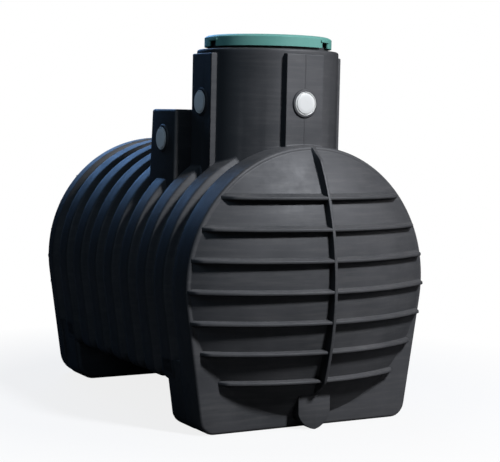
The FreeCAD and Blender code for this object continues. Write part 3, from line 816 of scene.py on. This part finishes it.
# %% The skin's height under the neck, and the kinds of ring
def groove_at(y):
    # Depth of the groove at this place along the barrel, by the tree's own rule.
    if not barrel_start < y < barrel_end:
        return 0.0
    pitch = HOOP_WIDTH + GROOVE_WIDTH
    away = abs((y - barrel_start - GROOVE_WIDTH / 2 + pitch / 2) % pitch - pitch / 2)
    share = (away - GROOVE_WIDTH / 2 + GROOVE_DRAFT + EDGE_SOFTNESS) / (GROOVE_DRAFT + 2 * EDGE_SOFTNESS)
    share = min(max(share, 0.0), 1.0)
    return GROOVE_DEPTH * (1 - share * share * (3 - 2 * share))


def skin_height(x, y):
    return ARCH_Z + math.sqrt((ARCH_RADIUS - groove_at(y)) ** 2 - x ** 2)


def round_ring(radius, z):
    scale = radius / NECK_RADIUS
    return [(x * scale, neck_y + y * scale, z) for (x, y), _ in neck_pairs]


def skirting_ring(points, out, rise):
    # A ring that follows the skin below it, this far out from the neck's wall.
    ring = []
    for x, y in points:
        scale = 1 + out / math.hypot(x, y)
        x, y = x * scale, neck_y + y * scale
        ring.append((x, y, skin_height(x, y) + rise))
    return ring


def padded_ring(pulled_in, z):
    ring = []
    for (round_x, round_y), (x, y) in neck_pairs:
        depth = math.hypot(x - round_x, y - round_y)
        share = min(pulled_in / depth, 1.0) if depth else 0.0
        ring.append((x + (round_x - x) * share, neck_y + y + (round_y - y) * share, z))
    return ring


print("skin over the neck's axis:", round(skin_height(0, neck_y), 4))

# %% The neck
NECK_EDGE = 0.012
NECK_FILLET = 0.008
SKIRT_OVERLAP = 0.006
SKIRT_SINK = 0.008
BORE_SINK = 0.014
PAD_TOP_DROP = 0.024
PAD_EDGE = 0.007
COLLAR_RADIUS = 0.305
COLLAR_FILLET = 0.004
COLLAR_EDGE = 0.002
ACCESS_RADIUS = 0.296
neck_top = neck_low.z + WALL
collar_top = neck_high.z


def neck_rings():
    padded = [pair[1] for pair in neck_pairs]
    rings = [skirting_ring(padded, NECK_FILLET + SKIRT_OVERLAP, -SKIRT_SINK)]
    for sine, cosine in quarter_steps(5):
        rings.append(skirting_ring(padded, NECK_FILLET * (1 - sine), NECK_FILLET * (1 - cosine)))
    pad_top = neck_top - PAD_TOP_DROP
    for sine, cosine in quarter_steps(4):
        rings.append(padded_ring(PAD_EDGE * (1 - cosine), pad_top - PAD_EDGE * (1 - sine)))
    rings.append(round_ring(NECK_RADIUS, pad_top))
    for sine, cosine in quarter_steps(6):
        rings.append(round_ring(NECK_RADIUS - NECK_EDGE * (1 - cosine), neck_top - NECK_EDGE * (1 - sine)))
    for radius, z in ((COLLAR_RADIUS + COLLAR_FILLET, neck_top), (COLLAR_RADIUS, neck_top + COLLAR_FILLET),
                      (COLLAR_RADIUS, collar_top - COLLAR_EDGE), (COLLAR_RADIUS - COLLAR_EDGE, collar_top),
                      (ACCESS_RADIUS + COLLAR_EDGE, collar_top), (ACCESS_RADIUS, collar_top - COLLAR_EDGE),
                      (ACCESS_RADIUS, neck_top - WALL), (NECK_BORE, neck_top - WALL)):
        rings.append(round_ring(radius, z))
    bore = [(x * NECK_BORE / NECK_RADIUS, y * NECK_BORE / NECK_RADIUS) for (x, y), _ in neck_pairs]
    rings.append(skirting_ring(bore, 0.0, -BORE_SINK))
    return rings


def closed_tube(name, rings):
    # Rings joined to each other and the last to the first.
    verts = [point for ring in rings for point in ring]
    faces = ring_faces(len(rings) + 1, len(rings[0]))
    return make_object(name, verts, [[index % len(verts) for index in face] for face in faces])


neck = finished(closed_tube("access_neck", neck_rings()), 40)
print("access neck:", count(neck), "triangles")

# %% [markdown]
# ## Bosses and blanking caps
# A pipe connection is a low round boss with a pale cap in its bore. Both are
# turned shapes, so one function spins a profile of radius and height about the
# pipe's axis. The profile closes on itself for a ring and on the axis for a cap,
# and the cap's fine groove lets its rim read as a separate ring.

# %% Turned pieces
TURNED_STEPS = 64
BOSS_PROFILE = [(0.055, -0.012), (0.078, -0.012), (0.0745, -0.002), (0.0712, 0.0006), (0.0690, 0.0028),
                (0.0680, 0.0060), (0.0672, 0.0074), (0.0655, 0.0080), (0.0565, 0.0080), (0.0550, 0.0070)]
CAP_PROFILE = [(0.0, 0.0130), (0.030, 0.0130), (0.0484, 0.0129), (0.0498, 0.0122), (0.0504, 0.0108),
               (0.0508, 0.0064), (0.0542, 0.0064), (0.0547, 0.0098), (0.0555, 0.0104), (0.0571, 0.0104),
               (0.0580, 0.0096), (0.0580, 0.0080), (0.0545, 0.0060), (0.0545, -0.018), (0.0485, -0.018),
               (0.0485, 0.0050), (0.0, 0.0050)]
CAP_HEIGHT = CAP_PROFILE[0][1]


def turned_piece(name, profile, face, quarter, y, z):
    # The profile's axis points outwards from a face on the given quarter: front,
    # right, rear, left.
    turn = Matrix.Rotation(QUARTER_TURN * quarter, 4, "Z") @ Matrix.Rotation(QUARTER_TURN, 4, "X")
    place = Matrix.Translation((0, y, z)) @ turn @ Matrix.Translation((0, 0, face))
    shape = bmesh.new()
    loop = [shape.verts.new((radius, 0, height)) for radius, height in profile]
    edges = [shape.edges.new((a, b)) for a, b in zip(loop, loop[1:])]
    if profile[0][0] > 0:
        edges.append(shape.edges.new((loop[-1], loop[0])))
    bmesh.ops.spin(shape, geom=loop + edges, cent=(0, 0, 0), axis=(0, 0, 1), angle=2 * math.pi,
                   steps=TURNED_STEPS)
    bmesh.ops.transform(shape, matrix=place, verts=shape.verts)
    return finished(object_from(shape, name), 40)


connection_low, connection_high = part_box("front_blanking_cap")
connection_z = (connection_low.z + connection_high.z) / 2
box_cap_low, box_cap_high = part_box("box_right_cap")
box_cap_y = (box_cap_low.y + box_cap_high.y) / 2
box_cap_z = (box_cap_low.z + box_cap_high.z) / 2
box_face = box_cap_high.x - CAP_HEIGHT
bosses = []
caps = {}
for quarter, side in ((0, "front"), (1, "right"), (3, "left")):
    spot = (PAD_FACE, quarter, neck_y, connection_z)
    bosses.append(turned_piece(side + "_connection_boss", BOSS_PROFILE, *spot))
    caps[side + "_blanking_cap"] = turned_piece(side + "_cap_disc", CAP_PROFILE, *spot)
for quarter, side in ((1, "right"), (3, "left")):
    spot = (box_face, quarter, box_cap_y, box_cap_z)
    bosses.append(turned_piece("box_" + side + "_boss", BOSS_PROFILE, *spot))
    caps["box_" + side + "_cap"] = turned_piece("box_" + side + "_cap_disc", CAP_PROFILE, *spot)
print("caps:", len(caps), "with", count(caps["box_left_cap"]), "triangles each")

# %% [markdown]
# ## The box turret
# The box is a block with a little draft, so that it leaves its mould, and rounded
# top and upright edges. A second, smaller block hollows it and a cylinder makes
# room for the neck, all by Boolean. Its walls run on down into the barrel.

# %% The box turret
BOX_SLOPE = math.tan(math.radians(1.3))
BOX_EDGE = 0.014
BOX_FOOT_Z = 1.12
HOLLOW_FOOT_Z = 1.02
NECK_ROOM = 0.005
ROOM_LOW_Z = 1.0
ROOM_HIGH_Z = 2.0
box_top = box_high.z
roof_drop = box_top - box_low.z
box_front = box_low.y + roof_drop * BOX_SLOPE
box_rear = box_high.y - roof_drop * BOX_SLOPE


def tapered_block(inset, low_z):
    # The outer block has no inset, and its top and upright edges are rounded.
    high_z = box_top - inset
    shape = bmesh.new()
    corners = {}
    for z in (low_z, high_z):
        grow = (box_top - z) * BOX_SLOPE - inset
        x, y0, y1 = BOX_HALF_WIDTH + grow, box_front - grow, box_rear + grow
        corners[z] = [shape.verts.new((cx, cy, z)) for cx, cy in ((-x, y0), (x, y0), (x, y1), (-x, y1))]
    low, high = corners[low_z], corners[high_z]
    shape.faces.new(low[::-1])
    shape.faces.new(high)
    for index in range(4):
        after = (index + 1) % 4
        shape.faces.new((low[index], low[after], high[after], high[index]))
    if inset == 0.0:
        rounded = [edge for edge in shape.edges if any(vert in high for vert in edge.verts)]
        bmesh.ops.bevel(shape, geom=rounded, offset=BOX_EDGE, offset_type="OFFSET", segments=5, profile=0.5,
                        affect="EDGES")
    bmesh.ops.recalc_face_normals(shape, faces=shape.faces)
    return shape


box = object_from(tapered_block(0.0, BOX_FOOT_Z), "box_turret")
box_hollow = object_from(tapered_block(BOX_WALL, HOLLOW_FOOT_Z), "cutter")
neck_room = cutter_cylinder(NECK_BORE + NECK_ROOM, ROOM_LOW_Z, ROOM_HIGH_Z)
cut_away(box, (box_hollow, neck_room))
smooth(box, 40)
for cutter in (box_hollow, neck_room):
    bpy.data.objects.remove(cutter)
print("box turret:", count(box), "triangles")

# %% [markdown]
# ## The keel lugs
# Under each dish hangs a shield-shaped keel with a slight ridge down its middle.
# Its outline is two upright sides and two arcs that meet in a point on the
# ground, pushed back into the end. A bevel softens its edges.

# %% The keel lugs
LUG_HALF_WIDTH = 0.091
LUG_FRONT = 0.078
LUG_BACK = 0.004
LUG_RIDGE = 0.009
LUG_SHOULDER_Z = 0.080
LUG_BULGE = 0.018
LUG_ARC_STEPS = 12
LUG_TOP_Z = 0.190
LUG_EDGE = 0.004


def lug_half_outline():
    # From the top corner down to the point: an upright side, then an arc whose
    # middle stands out from its chord by the bulge.
    chord = math.hypot(LUG_HALF_WIDTH, LUG_SHOULDER_Z)
    radius = (chord ** 2 / 4 + LUG_BULGE ** 2) / (2 * LUG_BULGE)
    away = (LUG_SHOULDER_Z / chord, -LUG_HALF_WIDTH / chord)
    middle = (LUG_HALF_WIDTH / 2, LUG_SHOULDER_Z / 2)
    centre = tuple(middle[axis] - away[axis] * (radius - LUG_BULGE) for axis in (0, 1))
    start = math.atan2(LUG_SHOULDER_Z - centre[1], LUG_HALF_WIDTH - centre[0])
    end = math.atan2(-centre[1], -centre[0])
    points = [(LUG_HALF_WIDTH, LUG_TOP_Z)]
    for step in range(LUG_ARC_STEPS + 1):
        angle = start + (end - start) * step / LUG_ARC_STEPS
        points.append((centre[0] + radius * math.cos(angle), centre[1] + radius * math.sin(angle)))
    points[-1] = (0.0, 0.0)    # exactly on the ground
    return points


def keel_lug(name):
    half = lug_half_outline()
    loop = [(-x, z) for x, z in half] + half[-2::-1]
    verts = [(x, front_y - LUG_FRONT + LUG_RIDGE * abs(x) / LUG_HALF_WIDTH, z) for x, z in loop]
    verts += [(x, front_y + LUG_BACK, z) for x, z in loop]
    verts += [(0.0, front_y - LUG_FRONT, LUG_TOP_Z)]
    size, ridge_top = len(loop), 2 * len(loop)
    point = len(half) - 1
    faces = [tuple(range(point + 1)) + (ridge_top,), tuple(range(point, size)) + (ridge_top,)]
    faces += [(index, index + 1, size + index + 1, size + index) for index in range(size - 1)]
    faces += [tuple(range(size, 2 * size)), (0, ridge_top, size - 1, 2 * size - 1, size)]
    obj = finished(make_object(name, verts, faces), 30)
    edges = obj.modifiers.new("soft edges", "BEVEL")
    edges.limit_method = "ANGLE"
    edges.angle_limit = math.radians(40)
    edges.width = LUG_EDGE
    edges.segments = 3
    keep_evaluated(obj)
    smooth(obj, 30)
    return obj


lugs = {"front": keel_lug("front_keel_lug"), "rear": turn_round(keel_lug("rear_keel_lug"))}
print("keel lugs:", count(lugs["front"]), "triangles each")

# %% [markdown]
# ## The lid
# The lid is turned too, but its skirt changes round the edge: three notches for
# the locks, each under a raised boss. So its rings are drawn by rules that ask at
# each angle how far out the edge stands and how low it reaches. Two points at
# nearly the same angle, one before a step and one after, keep the steps upright.
# The angles are counted from +X, so the first notch is 32 degrees to the right of
# the front.

# %% Points round the lid
LID_RADIUS = 0.325
LID_NOTCH_COUNT = 3
LID_FIRST_NOTCH = -58
LID_NOTCH_TURNS = [math.radians(LID_FIRST_NOTCH + 360 / LID_NOTCH_COUNT * index)
                   for index in range(LID_NOTCH_COUNT)]
LID_NOTCH_WIDTH = 0.056
LID_BOSS_WIDTH = 0.084
LID_STEPS = 180
LID_STEP_GAP = 1e-6
LID_LEAST_GAP = 0.006


def half_turned(angle):
    return (angle + math.pi) % (2 * math.pi) - math.pi


def lid_angles():
    # Plain angles, and each step of a notch or boss twice, before and after it.
    stops = []
    for turn in LID_NOTCH_TURNS:
        for width in (LID_NOTCH_WIDTH, LID_BOSS_WIDTH):
            half = math.asin(width / 2 / LID_RADIUS)
            stops += [(turn + sign * half + side * LID_STEP_GAP) for sign in (-1, 1) for side in (-1, 1)]
    turns = [half_turned(angle) for angle in stops]
    plain = [half_turned(2 * math.pi * step / LID_STEPS - QUARTER_TURN) for step in range(LID_STEPS)]
    turns += [angle for angle in plain if all(abs(angle - stop) > LID_LEAST_GAP for stop in turns)]
    return sorted(turns)


def within(angle, width):
    # True where the angle falls inside a notch or boss of this width.
    gaps = [abs(half_turned(angle - turn)) for turn in LID_NOTCH_TURNS]
    return min(gaps) < math.asin(width / 2 / LID_RADIUS)


print("points round the lid:", len(lid_angles()))

# %% The lid
LID_WALL = 0.006
LID_TOP_RINGS = (0.08, 0.16, 0.24)
LID_UNDER_RINGS = (0.2, 0.1)
# The bevel round the top: how far in from the edge, and how far down.
LID_BEVEL = ((0.021, 0.0), (0.015, 0.0012), (0.0028, 0.0078), (0.0, 0.012))
LID_BOTTOM_Z = neck_top + 0.014
LID_NOTCH_Z = LID_BOTTOM_Z + 0.026
LID_BOSS_Z = LID_NOTCH_Z + 0.014
LID_BOSS_PROUD = 0.005
LID_BOSS_EASE = 0.0015
LID_NOTCH_RIM = 0.0004
lid_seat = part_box("lid_top")[0].z
lid_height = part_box("lid_top")[1].z


def lid_mesh(name):
    angles = lid_angles()

    def ring(radius, z):
        points = []
        for angle in angles:
            r = radius(angle) if callable(radius) else radius
            height = z(angle) if callable(z) else z
            points.append((r * math.cos(angle), neck_y + r * math.sin(angle), height))
        return points

    def boss_radius(angle):
        return LID_RADIUS + (LID_BOSS_PROUD if within(angle, LID_BOSS_WIDTH) else 0.0)

    def bottom(angle):
        return LID_NOTCH_Z if within(angle, LID_NOTCH_WIDTH) else LID_BOTTOM_Z

    inner = LID_RADIUS - LID_WALL
    rings = [ring(radius, lid_height) for radius in LID_TOP_RINGS]
    rings += [ring(LID_RADIUS - inset, lid_height - drop) for inset, drop in LID_BEVEL]
    rings += [ring(LID_RADIUS, LID_BOSS_Z), ring(boss_radius, LID_BOSS_Z - LID_BOSS_EASE),
              ring(boss_radius, LID_NOTCH_Z + LID_BOSS_EASE), ring(LID_RADIUS, LID_NOTCH_Z + LID_NOTCH_RIM),
              ring(LID_RADIUS, bottom), ring(inner, bottom), ring(inner, lid_seat)]
    rings += [ring(radius, lid_seat) for radius in LID_UNDER_RINGS]
    around = len(angles)
    verts = [point for one in rings for point in one] + [(0, neck_y, lid_height), (0, neck_y, lid_seat)]
    faces = ring_faces(len(rings), around)
    last = (len(rings) - 1) * around
    for step in range(around):
        after = (step + 1) % around
        faces += [(after, step, len(verts) - 2), (last + step, last + after, len(verts) - 1)]
    return finished(make_object(name, verts, faces), 30)


lid = lid_mesh("tank_lid")
print("lid:", count(lid), "triangles")

# %% [markdown]
# ## Feet and seal from the frame
# These shapes are already right in the frame. A welded copy of each gets smooth
# shading.

# %% Welded copies
feet = {end: welded_copy(end + "_moulded_foot", end + "_foot") for end in ("front", "rear")}
seal = welded_copy("seal_ring", "lid_seal")
print("feet:", count(feet["front"]), count(feet["rear"]), "seal:", count(seal), "triangles")

# %% [markdown]
# ## Put every piece on its body
# The lid lifts off and everything else stays, so pieces ride on one of two
# bodies. A piece that stands for CAD nodes says so, and the nodes hide.

# %% Materials, bodies and the nodes that each piece stands for
barrel_nodes = ["barrel_" + side + part for side in ("right_", "left_")
                for part in ("roof", "shoulder", "flank", "side")]
tank_pieces = [
    (barrel, BLACK, barrel_nodes + ["belly"]),
    (front_end, BLACK, ["front_rim", "front_dish"]),
    (rear_end, BLACK, ["rear_rim", "rear_dish"]),
    (neck, BLACK, ["neck_front", "neck_right", "neck_rear", "neck_left", "neck_collar"]),
    (box, BLACK, ["box_roof", "box_left_wall", "box_right_wall", "box_front_wall", "box_rear_wall"]),
    (seal, RUBBER, ["lid_seal"]),
]
for end in ("front", "rear"):
    tank_pieces.append((feet[end], BLACK, [end + "_foot"]))
    tank_pieces.append((lugs[end], BLACK, [end + "_lug"]))
    tank_pieces.append((ribs[end], BLACK, [end + "_ribs"]))
    tank_pieces.append((spines[end], BLACK, []))
for node, piece in caps.items():
    tank_pieces.append((piece, GREY, [node]))
for piece in bosses:
    tank_pieces.append((piece, BLACK, []))


def finish_piece(piece, material, body, nodes):
    piece.data.materials.clear()
    piece.data.materials.append(material)
    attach(piece, body)
    if nodes:
        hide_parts(*nodes)


for piece, material, nodes in tank_pieces:
    finish_piece(piece, material, "tank", nodes)
finish_piece(lid, GREEN, "lid", ["lid_top", "lid_skirt"])
print("pieces:", len(tank_pieces) + 1)

# %% [markdown]
# ## Floor and background
# The photograph's background is white, so the camera sees a white floor and a
# white world, and the floor keeps a pale shadow close round the tank. All other
# rays meet a dark floor and a dim world, because white light thrown up from below
# would grey the black plastic. Nothing on the tank is metal or glass, so nothing
# needs to mirror the white.

# %% Floor and world
FLOOR_HALF = 30.0
FLOOR_DARK = (0.05, 0.05, 0.05, 1)
FLOOR_PALE = (0.62, 0.62, 0.62, 1)
FLOOR_ROUGHNESS = 0.9
SHADOW_NEAR = 1.3
SHADOW_FAR = 2.6
SHADOW_WHITE = 0.84
SKY_COLOUR = (0.75, 0.85, 1.0, 1)
SKY_STRENGTH = 0.008


def add_camera_white(tree, plain, white, share):
    # The camera sees this share of white, and every other ray sees none of it.
    seen = tree.math("MULTIPLY", tree.add("ShaderNodeLightPath").outputs["Is Camera Ray"], share)
    return tree.add("ShaderNodeMixShader", {0: seen, 1: plain, 2: white}).outputs[0]


floor_corners = [(x * FLOOR_HALF, y * FLOOR_HALF, 0) for x, y in ((-1, -1), (1, -1), (1, 1), (-1, 1))]
floor = make_object("studio_floor", floor_corners, [(0, 1, 2, 3)])
floor_material, floor_tree, floor_shader, floor_coords = new_material("pale floor")
camera_ray = floor_tree.add("ShaderNodeLightPath").outputs["Is Camera Ray"]
floor_colour = floor_tree.mix(camera_ray, FLOOR_DARK, FLOOR_PALE)
floor_tree.set(floor_shader, {"Base Color": floor_colour, "Roughness": FLOOR_ROUGHNESS})
distance = floor_tree.add("ShaderNodeVectorMath", {0: floor_coords}, operation="LENGTH").outputs["Value"]
white_share = floor_tree.ramp(distance, SHADOW_NEAR, SHADOW_FAR, SHADOW_WHITE, 1.0)
white_floor = floor_tree.add("ShaderNodeEmission", {"Strength": 1.0})
floor_look = add_camera_white(floor_tree, floor_shader.outputs[0], white_floor.outputs[0], white_share)
floor_tree.set(floor_material.node_tree.nodes["Material Output"], {"Surface": floor_look})
floor.data.materials.append(floor_material)

world = bpy.data.worlds.new("studio")
scene.world = world
world.use_nodes = True
world_tree = Tree(world.node_tree)
dim_sky = world.node_tree.nodes["Background"]
world_tree.set(dim_sky, {"Color": SKY_COLOUR, "Strength": SKY_STRENGTH})
white_sky = world_tree.add("ShaderNodeBackground", {"Color": (1, 1, 1, 1)})
sky_look = add_camera_white(world_tree, dim_sky.outputs[0], white_sky.outputs[0], 1.0)
world_tree.set(world.node_tree.nodes["World Output"], {"Surface": sky_look})
print("floor:", 2 * FLOOR_HALF, "m wide, its shadow fades from", SHADOW_NEAR, "to", SHADOW_FAR, "m")

# %% [markdown]
# ## Light
# The photograph was taken out of doors. A small lamp high in front stands for the
# sun: it comes a little from the right, so each rib throws a narrow shadow down
# and the upright one to its left. A wide lamp on the right opens the shadows, and
# two wide blue lamps behind and on the left stand for the open sky, which tints
# the tops of the hoops.

# %% Lamps
LAMP_TARGET = Vector((0, 0, 0.9))
LAMPS = {
    "high front light": ((2.00, -6.35, 6.70), 1.2, 1040, (0.90, 0.93, 1.0)),
    "low fill from the right": ((6.28, -3.63, 4.28), 5.0, 105, (0.97, 0.95, 1.0)),
    "blue sky behind": ((0.40, 6.90, 5.40), 5.5, 330, (0.25, 0.50, 1.0)),
    "blue sky from the left": ((-6.60, -1.20, 5.60), 4.5, 110, (0.52, 0.74, 1.0)),
}

for name, (place, width, power, colour) in LAMPS.items():
    lamp = bpy.data.lights.new(name, "AREA")
    lamp.shape = "DISK"
    lamp.size = width
    lamp.energy = power
    lamp.color = colour
    lamp_object = add_object(name, lamp)
    lamp_object.location = place
    lamp_object.rotation_euler = (LAMP_TARGET - Vector(place)).to_track_quat("-Z", "Y").to_euler()
    print(name, power, "W,", width, "m wide")

# %% [markdown]
# ## Camera
# A camera is a place, a direction, a roll and a lens. These came from fitting the
# straight and round edges that the photograph shows. The lens is given in pixels
# of the photograph, and the sensor's width turns it into millimetres.

# %% Camera
CAMERA_PLACE = Vector((-3.5253, -6.6101, 1.5053))
CAMERA_YAW = 0.5091
CAMERA_PITCH = -0.0813
CAMERA_ROLL = 0.0217
FOCAL_PIXELS = 1376.8
PHOTO_WIDTH = 500
SENSOR_WIDTH = 36.0

along_ground = math.cos(CAMERA_PITCH)
forward = Vector((math.sin(CAMERA_YAW) * along_ground, math.cos(CAMERA_YAW) * along_ground,
                  math.sin(CAMERA_PITCH)))
level_right = Vector((math.cos(CAMERA_YAW), -math.sin(CAMERA_YAW), 0))
level_up = level_right.cross(forward)
right = level_right * math.cos(CAMERA_ROLL) + level_up * math.sin(CAMERA_ROLL)
up = level_up * math.cos(CAMERA_ROLL) - level_right * math.sin(CAMERA_ROLL)
camera = add_object("camera", bpy.data.cameras.new("camera"))
turn = Matrix((right, up, -forward)).transposed().to_4x4()
camera.matrix_world = Matrix.Translation(CAMERA_PLACE) @ turn
camera.data.sensor_width = SENSOR_WIDTH
camera.data.lens = FOCAL_PIXELS * SENSOR_WIDTH / PHOTO_WIDTH
scene.camera = camera
print("lens", round(camera.data.lens, 1), "mm")
